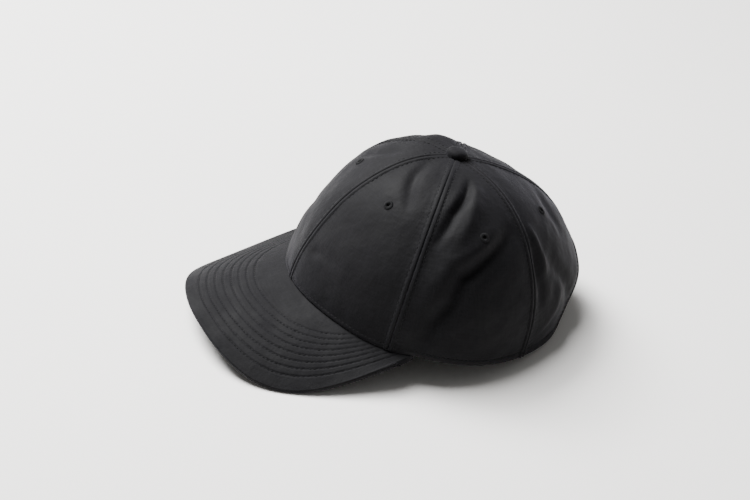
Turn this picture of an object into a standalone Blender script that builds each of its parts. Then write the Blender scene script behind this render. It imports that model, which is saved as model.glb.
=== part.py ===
"""Soft six-panel baseball cap with a curved brim, a fabric-covered top button and a back strap.

Units are metres and +Z is up. The brim points to -Y, and +X is the wearer's left. Sewn pieces are
drawn in the cap's own frame, where the head opening lies roughly level. The empty cap_frame leans
that frame back, so the cap stands on z = 0 on the brim's two side edges and the crown's two rear
corners. The back strap and its buckle are drawn round the upright axis that the strap slides about.
"""

import math

import bmesh
import bpy
from mathutils import Vector

MM = 0.001

# How the cap stands
LEAN_BACK = math.radians(11.75)
STAND_HEIGHT = 9.76 * MM
STAND_SHIFT_Y = 19.2 * MM

# Crown: plan outline of the hem, height and fullness
HEM_RADIUS = 93.3 * MM
HEM_WAVES = (-7.0 * MM, 0.6 * MM, -1.7 * MM, 2.0 * MM)
CROWN_HEIGHT = 104.3 * MM
APEX_SHIFT = 0.6 * MM
FULLNESS = (0.91, 0.77, 1.04)
STEEPNESS = (1.37, 1.18, 0.74)
SIDE_BULGE = 2.9 * MM
REAR_FLARE = 5.2 * MM
REAR_FLARE_HEIGHT = 0.2
REAR_FLARE_SPAN = 0.1
REAR_FLARE_WIDTH = 0.6
FRONT_HEM_Z = 5.7 * MM
REAR_HEM_Z = 7.4 * MM

# Brim: a sheet rolled about a leaning axis, cut to a rounded outline
BRIM_CORNER = math.radians(70.9)
BRIM_HALF_WIDTH = 88.0 * MM
BRIM_REACH = 61.0 * MM
BRIM_SQUARE_SIDE = 1.08
BRIM_SQUARE_FRONT = 0.56
BRIM_PITCH = math.radians(24.35)
BRIM_ROLL_RADIUS = 132.9 * MM
BRIM_ROLL_CHANGE = -0.55
BRIM_HEM_DROP = 2.9 * MM
BRIM_TUCK = 1.2 * MM
BRIM_BOARD = 1.6 * MM
BRIM_CLOTH = 0.5 * MM
BRIM_END = 0.985
BRIM_STEPS = 26
BRIM_INSET = 0.9 * MM
BRIM_LIP_OUT = 0.9 * MM
BRIM_LIP_DOWN = 2.0 * MM
STITCH_ROWS = 8
STITCH_FIRST = 7.6 * MM
STITCH_PITCH = 4.8 * MM
STITCH_THREAD = 0.3 * MM
STITCH_ROOT = 0.06

# Cloth, seams and openings
GAP = 0.3 * MM
CLOTH = 0.9 * MM
SEAM_GAP = 0.5 * MM
APEX_HOLE = 4.0 * MM
TAPE_HALF_WIDTH = 6.0 * MM
TAPE_DEPTH = 1.6 * MM
TAPE_CLOTH = 0.5 * MM
TAPE_TOP_RADIUS = 13.0 * MM
TAPE_START = 0.02
REAR_TAPE_START = 0.36
BAND_DEPTH = 2.7 * MM
BAND_POCKET_DEPTH = 4.9 * MM
BAND_CLOTH = 0.9 * MM
BAND_HEIGHT = 0.24
BAND_LOWEST = 0.008
POCKET_START = 118
POCKET_RAMP = 14
ARCH_HALF_WIDTH = 48.0 * MM
ARCH_HEIGHT = 48.0 * MM
ARCH_POWER = 2.2
ARCH_FOOT_DROP = 20.0 * MM
ARCH_CUT_Y = 90.0 * MM
ARCH_CUT_HALF = 60.0 * MM
BINDING_RADIUS = 0.8 * MM
BINDING_FOOT = 2.6 * MM
EYELET_HEIGHT = 0.59
EYELET_OUTER = 3.2 * MM
EYELET_NECK = 1.6 * MM
EYELET_HOLE = 1.0 * MM
EYELET_RIM = 0.5 * MM
EYELET_STANDOFF = 0.35 * MM

# Top button
BUTTON_RADIUS = 7.2 * MM
BUTTON_HEIGHT = 4.8 * MM
BUTTON_CLOTH = 0.5 * MM
SHANK_RADIUS = 1.5 * MM
WASHER_RADIUS = 7.0 * MM
WASHER_DEPTH = 1.9 * MM
METAL = 0.6 * MM

# Back strap and buckle, round an upright axis through STRAP_CENTRE_Y
STRAP_CENTRE_Y = 28.3 * MM
STRAP_RADIUS = 75.3 * MM
STRAP_FLARE = 0.15
STRAP_MID_Z = 12.3 * MM
STRAP_HALF_HEIGHT = 9.5 * MM
STRAP_CLOTH = 1.2 * MM
STRAP_HALF_ANGLE = math.radians(46)
BUCKLE_ANGLE = math.radians(-16)
BUCKLE_HALF_ANGLE = math.radians(8.5)
BUCKLE_PLATE = 0.8 * MM
BUCKLE_HALF_HEIGHT = 11.0 * MM
BUCKLE_CLEAR = 0.4 * MM
PIN_ANGLE = math.radians(-6.5)
PIN_OUT = 3.0 * MM
PIN_RADIUS = 0.8 * MM
LEVER_KNUCKLE = 2.0 * MM
LEVER_PLATE = 1.0 * MM
BAR_ANGLE = math.radians(-13)
BAR_RADIUS = 0.75 * MM
TAB_PLATE = 0.8 * MM
TAB_END_ANGLE = math.radians(-31)
TAB_HALF_HEIGHT = 9.0 * MM
EYE_LAP = math.radians(2)
EAR_HALF_ANGLE = math.radians(1.6)
SHOULDER_ANGLE = math.radians(2)
LEVER_START = math.radians(1.2)
LEVER_OVERHANG = math.radians(0.6)
LEVER_LIP = math.radians(0.7)
LEVER_LIP_ROOT = math.radians(1.1)
PIN_END = 0.2 * MM
TABLE_SIZE = 0.4

# Steps along the curved surfaces
PANEL_ROWS = 11
PANEL_COLUMNS = 8
TAPE_ROWS = 10
BAND_ROWS = 3
BAND_COLUMNS = 40
ARCH_CUT_STEPS = 24
BINDING_STEPS = 26
BRIM_ROWS = 4
BRIM_TOP_ROWS = 6
STITCH_STEPS = 22
STRAP_STEPS = 24
PLATE_STEPS = 6

SEAM_ANGLES = [math.radians(60 * i) for i in range(6)]
PANELS = {
    "front_panel_left": 0,
    "side_panel_left": 1,
    "rear_panel_left": 2,
    "rear_panel_right": 3,
    "side_panel_right": 4,
    "front_panel_right": 5,
}
TAPES = (
    "seam_tape_front",
    "seam_tape_front_left",
    "seam_tape_rear_left",
    "seam_tape_rear",
    "seam_tape_rear_right",
    "seam_tape_front_right",
)


# Surfaces: th is the angle from the front towards the wearer's left, t is 0 at the hem and 1 on top


def blend(th, values):
    """Front, side and rear values mixed by direction."""
    lengthwise = math.cos(th)
    front = lengthwise**2 if lengthwise > 0 else 0.0
    rear = lengthwise**2 if lengthwise < 0 else 0.0
    return front * values[0] + (1 - front - rear) * values[1] + rear * values[2]


def hem_radius(th):
    waves = (wave * math.cos((i + 1) * th) for i, wave in enumerate(HEM_WAVES))
    return HEM_RADIUS + sum(waves)


def brim_height(x, y):
    """Height of the rolled sheet that the brim is cut from."""
    ahead = -hem_radius(0) - y
    radius = max(BRIM_ROLL_RADIUS + BRIM_ROLL_CHANGE * ahead, abs(x) + 5 * MM)
    roll = radius - math.sqrt(radius**2 - x**2)
    return FRONT_HEM_Z - roll - ahead * math.tan(BRIM_PITCH)


def hem_height(th):
    """The hem follows the brim in front, and eases to its rear height behind the brim's corners."""
    th = abs(math.remainder(th, 2 * math.pi))
    edge = min(th, BRIM_CORNER)
    radius = hem_radius(edge)
    height = brim_height(radius * math.sin(edge), -radius * math.cos(edge))
    back = max(0.0, (th - BRIM_CORNER) / (math.pi - BRIM_CORNER))
    return REAR_HEM_Z + (height - REAR_HEM_Z) * (1 - back) ** 2


def crown_point(th, t):
    th = math.remainder(th, 2 * math.pi)
    rise = t * math.pi / 2
    hem = hem_height(th)
    radius = hem_radius(th) * max(math.cos(rise), 0.0) ** blend(th, FULLNESS)
    radius += SIDE_BULGE * math.sin(2 * rise)
    behind = (math.pi - abs(th)) / REAR_FLARE_WIDTH
    above = (t - REAR_FLARE_HEIGHT) / REAR_FLARE_SPAN
    radius += REAR_FLARE * math.exp(-(behind**2) - above**2)
    z = hem + (CROWN_HEIGHT - hem) * math.sin(rise) ** blend(th, STEEPNESS)
    forward = APEX_SHIFT * math.sin(rise) ** 2
    return Vector((radius * math.sin(th), forward - radius * math.cos(th), z))


def crown_normal(th, t):
    step = 0.002
    low = max(t, 0.01)
    across = crown_point(th + step, low) - crown_point(th - step, low)
    up = crown_point(th, low + step) - crown_point(th, low - step)
    return across.cross(up).normalized()


def under_crown(th, t, depth):
    return crown_point(th, t) - crown_normal(th, t) * depth


def plan_radius(th, t):
    point = crown_point(th, t)
    return math.hypot(point.x, point.y)


def top_reach(th, radius):
    """The t at which the crown has closed in to this plan radius."""
    low, high = 0.6, 1.0
    for _ in range(40):
        middle = (low + high) / 2
        if plan_radius(th, middle) > radius:
            low = middle
        else:
            high = middle
    return low


def brim_outline(s):
    """Plan point of the brim's outer edge, for s from -1 at the right corner to 1 at the left."""
    turn = s * math.pi / 2
    corner_y = -hem_radius(BRIM_CORNER) * math.cos(BRIM_CORNER)
    reach = corner_y + hem_radius(0) + BRIM_REACH
    x = math.copysign(BRIM_HALF_WIDTH * abs(math.sin(turn)) ** BRIM_SQUARE_SIDE, turn)
    return Vector((x, corner_y - reach * max(math.cos(turn), 0.0) ** BRIM_SQUARE_FRONT))


def brim_root(s):
    """Plan point of the brim's inner edge, tucked under the crown's hem."""
    th = s * BRIM_CORNER
    radius = hem_radius(th) - BRIM_TUCK
    return Vector((radius * math.sin(th), -radius * math.cos(th)))


def brim_point(s, v):
    """Middle surface of the brim: v is 0 at the hem and 1 at the outer edge."""
    plan = brim_root(s).lerp(brim_outline(s), v)
    return Vector((plan.x, plan.y, brim_height(plan.x, plan.y) - BRIM_HEM_DROP * (1 - v)))


def brim_normal(s, v):
    step = 0.002
    along = brim_point(s + step, v) - brim_point(s - step, v)
    out = brim_point(s, v + step) - brim_point(s, v - step)
    return out.cross(along).normalized()


def inset_share(s, distance):
    """The v of the brim point that is this far in from the outer edge, square to that edge."""
    edge = brim_outline(s)
    run = edge - brim_root(s)
    side = brim_outline(s + 0.002) - brim_outline(s - 0.002)
    normal = Vector((side.y, -side.x)).normalized()
    reach = abs(run.dot(normal))
    return 1 - distance / reach


def spread(low, high, count):
    """count + 1 even steps from low to high."""
    return [low + (high - low) * i / count for i in range(count + 1)]


# Building blocks


def clear_scene():
    for obj in list(bpy.data.objects):
        bpy.data.objects.remove(obj, do_unlink=True)


def make_collection(name):
    collection = bpy.data.collections.new(name)
    bpy.context.scene.collection.children.link(collection)
    return collection


def make_material(name, colour, roughness, metallic=0.0):
    material = bpy.data.materials.new(name)
    material.use_nodes = True
    shader = material.node_tree.nodes["Principled BSDF"]
    shader.inputs["Base Color"].default_value = (*colour, 1.0)
    shader.inputs["Roughness"].default_value = roughness
    shader.inputs["Metallic"].default_value = metallic
    return material


def add_object(name, data, parent, material):
    obj = bpy.data.objects.new(name, data)
    obj.parent = parent
    obj.data.materials.append(material)
    parts.objects.link(obj)
    return obj


def add_empty(name, location, rotation, parent=None):
    empty = bpy.data.objects.new(name, None)
    empty.location = location
    empty.rotation_euler = rotation
    empty.parent = parent
    parts.objects.link(empty)
    return empty


def grid_mesh(name, rows):
    """An open surface through rows of points."""
    builder = bmesh.new()
    lines = [[builder.verts.new(point) for point in row] for row in rows]
    for lower, upper in zip(lines, lines[1:]):
        for i in range(len(lower) - 1):
            builder.faces.new((lower[i], lower[i + 1], upper[i + 1], upper[i]))
    mesh = bpy.data.meshes.new(name)
    builder.to_mesh(mesh)
    builder.free()
    mesh.shade_smooth()
    return mesh


def thicken(obj, thickness, offset=-1.0):
    """A closed shell on the surface, lying inside it unless offset says otherwise."""
    shell = obj.modifiers.new("cloth", "SOLIDIFY")
    shell.thickness = thickness
    shell.offset = offset
    return obj


def profile_mesh(name, points, closed):
    """A line of edges in the XZ plane, for turning about Z."""
    count = len(points)
    edges = [(i, i + 1) for i in range(count - 1)]
    if closed:
        edges.append((count - 1, 0))
    mesh = bpy.data.meshes.new(name)
    mesh.from_pydata([(r, 0, z) for r, z in points], edges, [])
    return mesh


def turn(obj, steps, angle=2 * math.pi):
    screw = obj.modifiers.new("turn", "SCREW")
    screw.angle = angle
    screw.steps = steps
    screw.render_steps = steps
    screw.use_merge_vertices = angle > math.pi
    screw.merge_threshold = 0.01 * MM
    screw.use_smooth_shade = True
    return obj


def hide_cutter(obj):
    obj.hide_render = True
    obj.display_type = "WIRE"
    cutters.objects.link(obj)
    return obj


def cylinder(name, radius, half_length, steps=16):
    """A closed cylinder along Z, as a mesh."""
    builder = bmesh.new()
    bmesh.ops.create_cone(
        builder, cap_ends=True, segments=steps, radius1=radius, radius2=radius, depth=2 * half_length
    )
    mesh = bpy.data.meshes.new(name)
    builder.to_mesh(mesh)
    builder.free()
    return mesh


def flat_mesh(name, outlines, half_height):
    """A flat plate: the first outline is its edge, and any others are holes."""
    curve = bpy.data.curves.new(name, "CURVE")
    curve.dimensions = "2D"
    curve.fill_mode = "BOTH"
    curve.extrude = half_height
    for outline in outlines:
        spline = curve.splines.new("POLY")
        spline.points.add(len(outline) - 1)
        for point, (x, y) in zip(spline.points, outline):
            point.co = (x, y, 0, 1)
        spline.use_cyclic_u = True
    return welded_mesh(curve)


def welded_mesh(curve):
    """The curve's solid as a closed mesh."""
    holder = bpy.data.objects.new(curve.name, curve)
    bpy.context.scene.collection.objects.link(holder)
    graph = bpy.context.evaluated_depsgraph_get()
    mesh = bpy.data.meshes.new_from_object(holder.evaluated_get(graph))
    bpy.data.objects.remove(holder)
    builder = bmesh.new()
    builder.from_mesh(mesh)
    bmesh.ops.remove_doubles(builder, verts=builder.verts, dist=0.001 * MM)
    bmesh.ops.recalc_face_normals(builder, faces=builder.faces)
    builder.to_mesh(mesh)
    builder.free()
    return mesh


def boolean(obj, other, operation="DIFFERENCE"):
    change = obj.modifiers.new(other.name, "BOOLEAN")
    change.operation = operation
    change.solver = "EXACT"
    change.object = other
    return obj


def tube(name, points, radius, material, parent):
    """A closed round cord through the points."""
    curve = bpy.data.curves.new(name, "CURVE")
    curve.dimensions = "3D"
    curve.bevel_depth = radius
    curve.bevel_resolution = 0
    curve.use_fill_caps = True
    spline = curve.splines.new("POLY")
    spline.points.add(len(points) - 1)
    for target, point in zip(spline.points, points):
        target.co = (*point, 1)
    return add_object(name, curve, parent, material)


# Crown


def seam_edge(seam, t, side):
    """The angle of a panel's edge beside a seam: side is 1 past the seam and -1 before it."""
    return seam + side * SEAM_GAP / 2 / plan_radius(seam, t)


def panel_rows(first_seam):
    """Rows of points over one sixth of the crown, from the hem to the apex hole."""
    second_seam = first_seam + math.radians(60)
    reach = top_reach(first_seam + math.radians(30), APEX_HOLE)
    rows = []
    for t in spread(0, reach, PANEL_ROWS):
        start = seam_edge(first_seam, t, 1)
        end = seam_edge(second_seam, t, -1)
        rows.append([crown_point(th, t) for th in spread(start, end, PANEL_COLUMNS)])
    return rows


def make_panels(cap, cloth, arch_cutter, table_cutter):
    for name, index in PANELS.items():
        rows = panel_rows(SEAM_ANGLES[index])
        panel = thicken(add_object(name, grid_mesh(name, rows), cap, cloth), CLOTH)
        boolean(panel, make_eyelet_cutter(name, index, cap))
        if name.startswith("rear"):
            boolean(panel, arch_cutter)
            boolean(panel, table_cutter)


def eyelet_place(index):
    """Where panel number index has its eyelet, and the turn that stands +Z out of the cloth."""
    th = SEAM_ANGLES[index] + math.radians(30)
    normal = crown_normal(th, EYELET_HEIGHT)
    return crown_point(th, EYELET_HEIGHT), normal.to_track_quat("Z", "Y").to_euler()


def make_eyelet_cutter(panel_name, index, cap):
    name = panel_name + "_eyelet_cutter"
    mesh = cylinder(name, EYELET_NECK + GAP, 6 * MM, 12)
    cutter = hide_cutter(bpy.data.objects.new(name, mesh))
    cutter.parent = cap
    cutter.location, cutter.rotation_euler = eyelet_place(index)
    return cutter


def make_eyelets(cap, thread):
    """Each is a stitched ring with a rim outside and inside the cloth, and a neck through it."""
    outside = EYELET_STANDOFF
    inside = -CLOTH - 2 * EYELET_STANDOFF
    profile = [
        (EYELET_HOLE, outside + EYELET_RIM),
        (EYELET_OUTER * 0.75, outside + EYELET_RIM),
        (EYELET_OUTER, outside + 0.1 * MM),
        (EYELET_OUTER, outside),
        (EYELET_NECK, outside),
        (EYELET_NECK, inside),
        (EYELET_OUTER * 0.8, inside),
        (EYELET_OUTER * 0.8, inside - EYELET_RIM),
        (EYELET_HOLE, inside - EYELET_RIM),
    ]
    for panel_name, index in PANELS.items():
        name = "eyelet_" + panel_name.replace("_panel", "")
        ring = add_object(name, profile_mesh(name, profile, True), cap, thread)
        ring.location, ring.rotation_euler = eyelet_place(index)
        turn(ring, 12)


def make_tapes(cap, cloth):
    """A tape covers the inside of each seam. The rear one starts above the arch."""
    for name, seam in zip(TAPES, SEAM_ANGLES):
        start = REAR_TAPE_START if name == "seam_tape_rear" else TAPE_START
        rows = []
        for t in spread(start, top_reach(seam, TAPE_TOP_RADIUS), TAPE_ROWS):
            half = math.asin(TAPE_HALF_WIDTH / plan_radius(seam, t))
            rows.append([under_crown(seam + side * half, t, TAPE_DEPTH) for side in (-1, 0, 1)])
        thicken(add_object(name, grid_mesh(name, rows), cap, cloth), TAPE_CLOTH)


def band_depth(th):
    """The band lies close behind the seam tapes, and deeper where the strap runs behind it."""
    share = (math.degrees(abs(th)) - POCKET_START) / POCKET_RAMP
    share = min(max(share, 0.0), 1.0)
    return BAND_DEPTH + (BAND_POCKET_DEPTH - BAND_DEPTH) * share * share * (3 - 2 * share)


def make_sweatband(cap, cloth):
    end = math.pi - math.asin((ARCH_HALF_WIDTH + 2 * MM) / hem_radius(math.pi))
    rows = []
    for t in spread(BAND_LOWEST, BAND_HEIGHT, BAND_ROWS):
        rows.append([under_crown(th, t, band_depth(th)) for th in spread(-end, end, BAND_COLUMNS)])
    thicken(add_object("sweatband", grid_mesh("sweatband", rows), cap, cloth), BAND_CLOTH)


# Rear arch


def arch_outline(half_width, height, count):
    """Points of the arch in the XZ plane, from the right foot over the top to the left foot."""
    points = []
    for turn_angle in spread(math.pi, 0, count):
        across = math.cos(turn_angle)
        x = math.copysign(half_width * abs(across) ** (2 / ARCH_POWER), across)
        z = REAR_HEM_Z + height * max(math.sin(turn_angle), 0.0) ** (2 / ARCH_POWER)
        points.append((x, z))
    return points


def make_arch_cutter(cap):
    """A prism through the back of the crown, standing below the hem."""
    top = arch_outline(ARCH_HALF_WIDTH, ARCH_HEIGHT, ARCH_CUT_STEPS)
    foot = REAR_HEM_Z - ARCH_FOOT_DROP
    outline = [(-ARCH_HALF_WIDTH, foot), *top, (ARCH_HALF_WIDTH, foot)]
    prism = flat_mesh("arch_cutter", [outline], ARCH_CUT_HALF)
    cutter = hide_cutter(bpy.data.objects.new("arch_cutter", prism))
    cutter.parent = cap
    cutter.location = (0, ARCH_CUT_Y, 0)
    cutter.rotation_euler = (math.pi / 2, 0, 0)
    return cutter


def rear_t(th, z):
    """The t at which the crown at angle th is at height z."""
    low, high = 0.0, 0.9
    for _ in range(40):
        middle = (low + high) / 2
        if crown_point(th, middle).z < z:
            low = middle
        else:
            high = middle
    return low


def rear_place(x, z):
    """The angle and t of the rear crown point with this x and z."""
    low, high = math.radians(100), math.pi
    for _ in range(40):
        middle = (low + high) / 2
        if crown_point(middle, rear_t(middle, z)).x > abs(x):
            low = middle
        else:
            high = middle
    return math.copysign(low, x), rear_t(low, z)


def make_arch_binding(cap, cloth):
    """A folded strip round the arch, as a thin roll just inside the cut edge."""
    inset = BINDING_RADIUS + 1.5 * GAP
    points = []
    for x, z in arch_outline(ARCH_HALF_WIDTH - inset, ARCH_HEIGHT - inset, BINDING_STEPS):
        th, t = rear_place(x, max(z, REAR_HEM_Z + BINDING_FOOT))
        points.append(under_crown(th, t, CLOTH / 2))
    tube("arch_binding", points, BINDING_RADIUS, cloth, cap)


# Brim


def brim_line():
    return spread(BRIM_END, -BRIM_END, BRIM_STEPS)


def brim_layer(v_steps, level, inset):
    """The brim's surface moved along its normal, and cut short of the outer edge by inset."""
    rows = []
    for share in spread(0, 1, v_steps):
        row = []
        for s in brim_line():
            v = share * inset_share(s, inset)
            row.append(brim_point(s, v) + brim_normal(s, v) * level)
        rows.append(row)
    return rows


def make_brim(cap, cloth, board_material):
    """A stiff board between an upper cloth, whose lip closes the edge, and an under cloth."""
    board_mesh = grid_mesh("brim_board", brim_layer(BRIM_ROWS, 0, BRIM_INSET))
    thicken(add_object("brim_board", board_mesh, cap, board_material), BRIM_BOARD, 0.0)
    level = BRIM_BOARD / 2 + GAP
    under_mesh = grid_mesh("brim_under_cover", brim_layer(BRIM_ROWS, -level, BRIM_INSET))
    thicken(add_object("brim_under_cover", under_mesh, cap, cloth), BRIM_CLOTH)
    rows = brim_layer(BRIM_TOP_ROWS, level, 0)
    rows.append([lip_point(s, level) for s in brim_line()])
    cover = add_object("brim_top_cover", grid_mesh("brim_top_cover", rows), cap, cloth)
    thicken(cover, BRIM_CLOTH, 1.0)


def lip_point(s, level):
    """The upper cloth's turned-down edge, just outside the board."""
    ahead = brim_point(s, 1) - brim_point(s, 0.9)
    side = brim_point(s + 0.002, 1) - brim_point(s - 0.002, 1)
    outward = side.cross(brim_normal(s, 1)).normalized()
    outward *= math.copysign(1, outward.dot(ahead))
    return brim_point(s, 1) + brim_normal(s, 1) * (level - BRIM_LIP_DOWN) + outward * BRIM_LIP_OUT


def row_end(distance):
    """The s at which a stitch row meets the crown."""
    low, high = 0.0, 0.98
    for _ in range(40):
        middle = (low + high) / 2
        if inset_share(middle, distance) > STITCH_ROOT:
            low = middle
        else:
            high = middle
    return low


def make_stitch_rows(cap, thread):
    level = BRIM_BOARD / 2 + 2 * GAP + BRIM_CLOTH + STITCH_THREAD
    for row in range(STITCH_ROWS):
        distance = STITCH_FIRST + row * STITCH_PITCH
        end = row_end(distance)
        points = []
        for s in spread(-end, end, STITCH_STEPS):
            v = inset_share(s, distance)
            points.append(brim_point(s, v) + brim_normal(s, v) * level)
        tube(f"brim_stitch_row_{row + 1}", points, STITCH_THREAD, thread, cap)


# Top button, on the crown's highest point


def dome(radius, height, count):
    """A low dome's outline from its crown on the axis down to its rim."""
    points = []
    for angle in spread(math.pi / 2, 0, count):
        points.append((radius * math.cos(angle), height * math.sin(angle)))
    return points


def make_button(cap, cloth, metal):
    top = (0, APEX_SHIFT, CROWN_HEIGHT)
    rim = 2 * GAP
    outer = [(r, rim + z) for r, z in dome(BUTTON_RADIUS, BUTTON_HEIGHT - rim, 6)]
    inner_radius = BUTTON_RADIUS - BUTTON_CLOTH
    inner_height = BUTTON_HEIGHT - rim - BUTTON_CLOTH
    inner = [(r, rim + z) for r, z in dome(inner_radius, inner_height, 6)]
    add_turned("button_cover", outer + inner[::-1], False, 20, top, cap, cloth)
    shell_radius = inner_radius - GAP
    shell_height = inner_height - GAP
    outer = [(r, rim + z) for r, z in dome(shell_radius, shell_height, 5)]
    inner = [(r, rim + z) for r, z in dome(shell_radius - METAL, shell_height - METAL, 5)]
    add_turned("button_shell", outer + inner[::-1], False, 16, top, cap, metal)
    disc = shell_radius - METAL - GAP
    under = -WASHER_DEPTH - METAL - GAP
    shank = [
        (0, rim + METAL),
        (disc, rim + METAL),
        (disc, rim),
        (SHANK_RADIUS, rim),
        (SHANK_RADIUS, under),
        (2 * SHANK_RADIUS, under),
        (2 * SHANK_RADIUS, under - METAL),
        (0, under - METAL),
    ]
    add_turned("button_shank", shank, False, 16, top, cap, metal)
    washer = [
        (SHANK_RADIUS + GAP, -WASHER_DEPTH),
        (WASHER_RADIUS, -WASHER_DEPTH),
        (WASHER_RADIUS, -WASHER_DEPTH - METAL),
        (SHANK_RADIUS + GAP, -WASHER_DEPTH - METAL),
    ]
    add_turned("button_washer", washer, True, 16, top, cap, metal)


def add_turned(name, profile, closed, steps, location, parent, material):
    piece = add_object(name, profile_mesh(name, profile, closed), parent, material)
    piece.location = location
    return turn(piece, steps)


# Back strap and buckle: plan points are given by an angle and a distance out from the strap's middle


def polar(angle, out):
    radius = STRAP_RADIUS + out
    return (radius * math.sin(angle), radius * math.cos(angle) - STRAP_RADIUS)


def arc(start, end, out, count):
    return [polar(angle, out) for angle in spread(start, end, count)]


def circle(centre, radius, count=12):
    turns = [2 * math.pi * i / count for i in range(count)]
    return [(centre[0] + radius * math.cos(a), centre[1] + radius * math.sin(a)) for a in turns]


def make_strap(axis, cloth):
    """A band on a cone that opens upwards like the crown's back, so that it slides along itself."""
    top = STRAP_RADIUS + STRAP_FLARE * STRAP_HALF_HEIGHT
    bottom = STRAP_RADIUS - STRAP_FLARE * STRAP_HALF_HEIGHT
    profile = [(top, STRAP_HALF_HEIGHT), (bottom, -STRAP_HALF_HEIGHT)]
    strap = add_object("back_strap", profile_mesh("back_strap", profile, False), axis, cloth)
    strap.location = (0, 0, STRAP_MID_Z)
    strap.rotation_euler = (0, 0, math.pi / 2 - STRAP_HALF_ANGLE)
    turn(strap, STRAP_STEPS, 2 * STRAP_HALF_ANGLE)
    thicken(strap, STRAP_CLOTH, 0.0)


def make_tab(buckle, cloth):
    """A short tab sewn into the right pocket, with an eye round the buckle's bar."""
    face = -STRAP_CLOTH / 2 - BUCKLE_CLEAR
    eye_outer = BAR_RADIUS + GAP + TAB_PLATE
    centre = polar(BAR_ANGLE, face - eye_outer)
    outline = arc(TAB_END_ANGLE, BAR_ANGLE, face, PLATE_STEPS)
    for bend in [*spread(math.pi / 2, -math.pi / 2, PLATE_STEPS)[1:], math.pi]:
        heading = bend - BAR_ANGLE
        x = centre[0] + eye_outer * math.cos(heading)
        y = centre[1] + eye_outer * math.sin(heading)
        outline.append((x, y))
    outline += arc(BAR_ANGLE - EYE_LAP, TAB_END_ANGLE, face - TAB_PLATE, PLATE_STEPS)
    hole = circle(centre, BAR_RADIUS + GAP)
    add_object("strap_tab", flat_mesh("strap_tab", [outline, hole], TAB_HALF_HEIGHT), buckle, cloth)


def make_buckle_frame(buckle, metal):
    """A channel that the strap runs through: a web inside it, a plate above and below, and a bar."""
    face = -STRAP_CLOTH / 2 - BUCKLE_CLEAR
    half = BUCKLE_HALF_ANGLE
    web_outline = arc(-half, half, face, PLATE_STEPS) + arc(half, -half, face - BUCKLE_PLATE, PLATE_STEPS)
    web = flat_mesh("buckle_frame", [web_outline], BUCKLE_HALF_HEIGHT - BUCKLE_PLATE / 2)
    frame = add_object("buckle_frame", web, buckle, metal)
    bar_out = face - BAR_RADIUS - GAP - TAB_PLATE
    ear = BAR_ANGLE - EAR_HALF_ANGLE
    outline = [
        *arc(ear, -half, face, PLATE_STEPS // 2),
        polar(-half, PIN_OUT + LEVER_KNUCKLE),
        polar(PIN_ANGLE + SHOULDER_ANGLE, PIN_OUT + LEVER_KNUCKLE),
        polar(half, PIN_OUT),
        *arc(half, -half, face - BUCKLE_PLATE, PLATE_STEPS),
        polar(BAR_ANGLE + EAR_HALF_ANGLE, bar_out - 2 * BAR_RADIUS),
        polar(ear, bar_out - 2 * BAR_RADIUS),
    ]
    hole = circle(polar(PIN_ANGLE, PIN_OUT), PIN_RADIUS + GAP)
    for side, label in ((1, "top"), (-1, "bottom")):
        name = f"buckle_plate_{label}"
        plate = bpy.data.objects.new(name, flat_mesh(name, [outline, hole], BUCKLE_PLATE / 2))
        plate.parent = buckle
        plate.location = (0, 0, side * (BUCKLE_HALF_HEIGHT - BUCKLE_PLATE / 2))
        boolean(frame, hide_cutter(plate), "UNION")
    bar_mesh = cylinder("buckle_bar", BAR_RADIUS, BUCKLE_HALF_HEIGHT - BUCKLE_PLATE / 2)
    bar = bpy.data.objects.new("buckle_bar", bar_mesh)
    bar.parent = buckle
    bar.location = (*polar(BAR_ANGLE, bar_out), 0)
    boolean(frame, hide_cutter(bar), "UNION")


def make_lever(buckle, metal):
    """A cover plate over the strap, with a knuckle that turns on the pin and grips the strap."""
    pivot = polar(PIN_ANGLE, PIN_OUT)
    inner = PIN_OUT - LEVER_PLATE
    start = PIN_ANGLE + LEVER_START
    tip = BUCKLE_HALF_ANGLE + LEVER_OVERHANG
    lip = PIN_OUT + LEVER_PLATE
    outline = arc(start, tip, inner, PLATE_STEPS)
    outline += [polar(tip, lip), polar(tip - LEVER_LIP, lip)]
    outline += arc(tip - LEVER_LIP_ROOT, start, PIN_OUT, PLATE_STEPS)
    relative = [(x - pivot[0], y - pivot[1]) for x, y in outline]
    height = BUCKLE_HALF_HEIGHT - BUCKLE_PLATE - BUCKLE_CLEAR
    lever = add_object("buckle_lever", flat_mesh("buckle_lever", [relative], height), buckle, metal)
    lever.location = (*pivot, 0)
    knuckle = bpy.data.objects.new("lever_knuckle", cylinder("lever_knuckle", LEVER_KNUCKLE, height))
    bore = bpy.data.objects.new("lever_bore", cylinder("lever_bore", PIN_RADIUS + GAP, 2 * height))
    for helper, operation in ((knuckle, "UNION"), (bore, "DIFFERENCE")):
        helper.parent = buckle
        helper.location = lever.location
        boolean(lever, hide_cutter(helper), operation)
    pin_mesh = cylinder("buckle_pin", PIN_RADIUS, BUCKLE_HALF_HEIGHT + PIN_END)
    pin = add_object("buckle_pin", pin_mesh, buckle, metal)
    pin.location = lever.location


def make_table_cutter():
    """Everything below z = 0, so that the crown's rear corners stand flat."""
    builder = bmesh.new()
    bmesh.ops.create_cube(builder, size=TABLE_SIZE)
    mesh = bpy.data.meshes.new("table_cutter")
    builder.to_mesh(mesh)
    builder.free()
    cutter = hide_cutter(bpy.data.objects.new("table_cutter", mesh))
    cutter.location = (0, 0, -TABLE_SIZE / 2)
    return cutter


clear_scene()
parts = make_collection("baseball_cap")
cutters = make_collection("cutters")

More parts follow.
